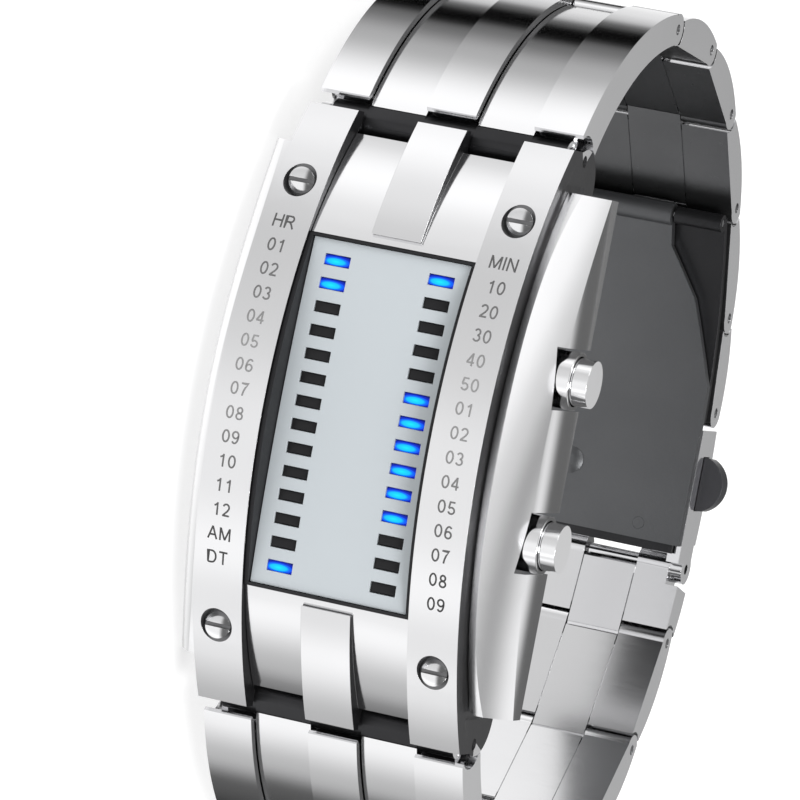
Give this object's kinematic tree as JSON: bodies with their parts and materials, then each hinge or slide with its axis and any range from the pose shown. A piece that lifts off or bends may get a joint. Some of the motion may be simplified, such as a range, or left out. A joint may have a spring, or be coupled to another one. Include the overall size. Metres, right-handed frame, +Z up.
{
  "type": "led bracelet watch",
  "caption": "Steel bracelet watch with two columns of light windows, curved side rails, side guards, two pushers and a folding clasp, lying on its left guard.",
  "frame": {"origin": "middle of the flat outer face of the left (9 o'clock) side guard, on the surface the watch lies on", "axes": "+X towards 6 o'clock, +Y from the face towards the clasp, +Z up through the case towards the pushers"},
  "size_m": [0.0848, 0.0717, 0.0345],
  "materials": {
    "satin_steel": "fine satin brushing on stainless steel",
    "polished_steel": "polished stainless steel",
    "dark_steel": "bead-blasted dark stainless steel",
    "display_grey": "smooth light grey film",
    "black_plastic": "matte black moulding",
    "blue_light": "clear blue light-emitting package",
    "board_green": "solder mask",
    "clip_brass": "plain stamped strip",
    "seal_rubber": "matte moulded seal"
  },
  "bodies": {
    "case": {"case_middle": "satin_steel", "rail_left": "satin_steel", "rail_right": "satin_steel", "end_cover_top": "satin_steel", "end_cover_bottom": "satin_steel", "display_frame": "black_plastic", "display_plate": "display_grey", "light_guide": "black_plastic", "light_diodes": "blue_light", "diode_board": "board_green", "main_board": "board_green", "battery": "satin_steel", "battery_clip": "clip_brass", "module_holder": "black_plastic", "case_back": "satin_steel", "back_gasket": "seal_rubber", "back_screws": "satin_steel", "rail_screws": "satin_steel", "guard_left": "polished_steel", "guard_right": "polished_steel", "pusher_tubes": "polished_steel", "pusher_spring_top": "satin_steel", "pusher_spring_bottom": "satin_steel", "lug_bar_top": "satin_steel", "lug_bar_bottom": "satin_steel"},
    "upper_1": {"end_link_top": "satin_steel", "pin_top_1": "satin_steel"},
    "upper_2": {"link_top_1": "satin_steel", "pin_top_2": "satin_steel"},
    "upper_3": {"link_top_2": "satin_steel", "pin_top_3": "satin_steel"},
    "upper_4": {"link_top_3": "satin_steel", "pin_top_4": "satin_steel"},
    "upper_5": {"link_top_4": "satin_steel", "pin_top_5": "satin_steel"},
    "upper_6": {"clasp_link": "satin_steel", "clasp_bar": "satin_steel"},
    "outer_blade": {"outer_blade": "dark_steel", "blade_pin": "satin_steel"},
    "catch": {"inner_blade": "dark_steel", "catch_body": "satin_steel", "catch_rivets": "dark_steel", "release_spring_left": "satin_steel", "release_spring_right": "satin_steel"},
    "release_left": {"release_button_left": "dark_steel"},
    "release_right": {"release_button_right": "dark_steel"},
    "lower_1": {"end_link_bottom": "satin_steel", "pin_bottom_1": "satin_steel"},
    "lower_2": {"link_bottom_1": "satin_steel", "pin_bottom_2": "satin_steel"},
    "lower_3": {"link_bottom_2": "satin_steel", "pin_bottom_3": "satin_steel"},
    "lower_4": {"link_bottom_3": "satin_steel", "pin_bottom_4": "satin_steel"},
    "lower_5": {"link_bottom_4": "satin_steel", "pin_bottom_5": "satin_steel"},
    "lower_6": {"short_link": "satin_steel", "catch_spring_bar": "satin_steel"},
    "pusher_top": {"pusher_top": "polished_steel"},
    "pusher_bottom": {"pusher_bottom": "polished_steel"}
  },
  "joints": [
    {"name": "upper_hinge_1", "type": "hinge", "parent": "case", "child": "upper_1", "pos_m": [-0.0262, 0.0034, 0.016], "axis": [0, 0, 1], "range_deg": [0, 35]},
    {"name": "upper_hinge_2", "type": "hinge", "parent": "upper_1", "child": "upper_2", "pos_m": [-0.03982, 0.02364, 0.016], "axis": [0, 0, 1], "range_deg": [0, 13]},
    {"name": "upper_hinge_3", "type": "hinge", "parent": "upper_2", "child": "upper_3", "pos_m": [-0.03892, 0.03526, 0.016], "axis": [0, 0, 1], "range_deg": [0, 22.7]},
    {"name": "upper_hinge_4", "type": "hinge", "parent": "upper_3", "child": "upper_4", "pos_m": [-0.0336, 0.04562, 0.016], "axis": [0, 0, 1], "range_deg": [0, 20.8]},
    {"name": "upper_hinge_5", "type": "hinge", "parent": "upper_4", "child": "upper_5", "pos_m": [-0.02495, 0.05342, 0.016], "axis": [0, 0, 1], "range_deg": [0, 18.4]},
    {"name": "upper_hinge_6", "type": "hinge", "parent": "upper_5", "child": "upper_6", "pos_m": [-0.01428, 0.0581, 0.016], "axis": [0, 0, 1], "range_deg": [0, 13.8]},
    {"name": "clasp_hinge", "type": "hinge", "parent": "upper_6", "child": "outer_blade", "pos_m": [-0.00487, 0.05973, 0.016], "axis": [0, 0, 1], "range_deg": [0, 30]},
    {"name": "blade_hinge", "type": "hinge", "parent": "outer_blade", "child": "catch", "pos_m": [-0.02323, 0.0506, 0.016], "axis": [0, 0, -1], "range_deg": [0, 60]},
    {"name": "lower_hinge_1", "type": "hinge", "parent": "case", "child": "lower_1", "pos_m": [0.0262, 0.0034, 0.016], "axis": [0, 0, -1], "range_deg": [0, 30]},
    {"name": "lower_hinge_2", "type": "hinge", "parent": "lower_1", "child": "lower_2", "pos_m": [0.04152, 0.02239, 0.016], "axis": [0, 0, -1], "range_deg": [0, 13.7]},
    {"name": "lower_hinge_3", "type": "hinge", "parent": "lower_2", "child": "lower_3", "pos_m": [0.04147, 0.03404, 0.016], "axis": [0, 0, -1], "range_deg": [0, 23.3]},
    {"name": "lower_hinge_4", "type": "hinge", "parent": "lower_3", "child": "lower_4", "pos_m": [0.03684, 0.04473, 0.016], "axis": [0, 0, -1], "range_deg": [0, 21.4]},
    {"name": "lower_hinge_5", "type": "hinge", "parent": "lower_4", "child": "lower_5", "pos_m": [0.02862, 0.05299, 0.016], "axis": [0, 0, -1], "range_deg": [0, 19.1]},
    {"name": "lower_hinge_6", "type": "hinge", "parent": "lower_5", "child": "lower_6", "pos_m": [0.01815, 0.05809, 0.016], "axis": [0, 0, -1], "range_deg": [0, 13.6]},
    {"name": "pusher_top_press", "type": "slide", "parent": "case", "child": "pusher_top", "axis": [0, 0, -1], "range_m": [0, 0.0008], "stiffness_N_per_m": 400, "deforming": ["pusher_spring_top"]},
    {"name": "pusher_bottom_press", "type": "slide", "parent": "case", "child": "pusher_bottom", "axis": [0, 0, -1], "range_m": [0, 0.0008], "stiffness_N_per_m": 400, "deforming": ["pusher_spring_bottom"]},
    {"name": "release_left_press", "type": "slide", "parent": "catch", "child": "release_left", "axis": [0, 0, 1], "range_m": [0, 0.0008], "stiffness_N_per_m": 400, "deforming": ["release_spring_left"]},
    {"name": "release_right_press", "type": "slide", "parent": "catch", "child": "release_right", "axis": [0, 0, -1], "range_m": [0, 0.0008], "stiffness_N_per_m": 400, "deforming": ["release_spring_right"]}
  ]
}
